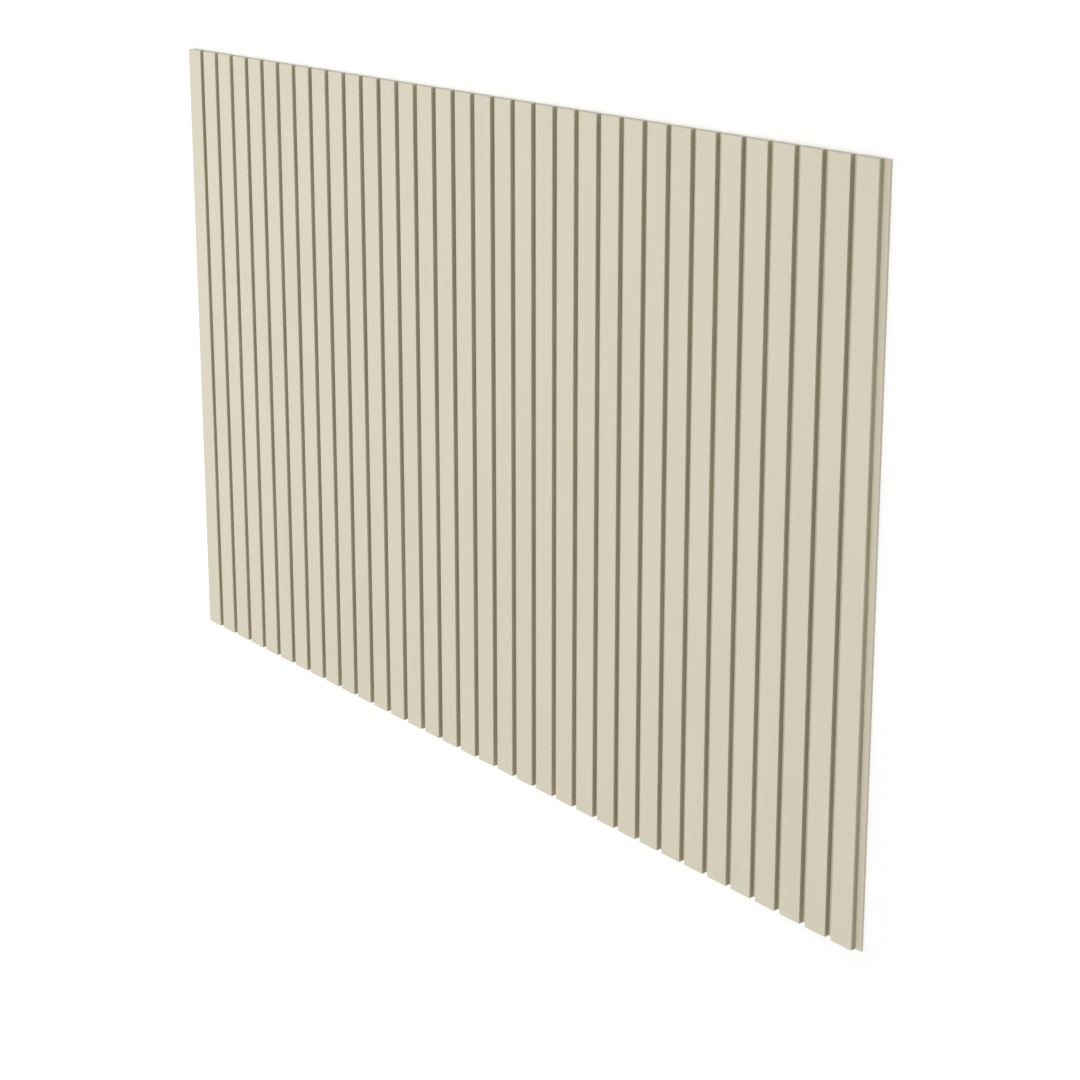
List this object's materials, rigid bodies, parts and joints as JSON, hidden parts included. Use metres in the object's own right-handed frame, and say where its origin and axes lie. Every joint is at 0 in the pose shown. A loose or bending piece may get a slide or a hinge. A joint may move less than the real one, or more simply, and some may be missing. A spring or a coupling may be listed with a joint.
{
  "type": "grooved mdf wall panel",
  "caption": "Flat painted MDF wall panel with evenly spaced square grooves routed along its face, forming slats, and an open lip along one edge where the next panel butts.",
  "frame": {"origin": "middle of the flat back face, which lies on the floor", "axes": "+X across the slats towards the edge with the open lip, +Y along the slats towards the panel's head, +Z out of the grooved face"},
  "size_m": [1.22, 0.813, 0.009],
  "materials": {
    "painted_mdf": "warm beige satin paint over sealed MDF, a little browner in the routed grooves"
  },
  "bodies": {
    "root": {"grooved_panel": "painted_mdf"}
  },
  "joints": []
}
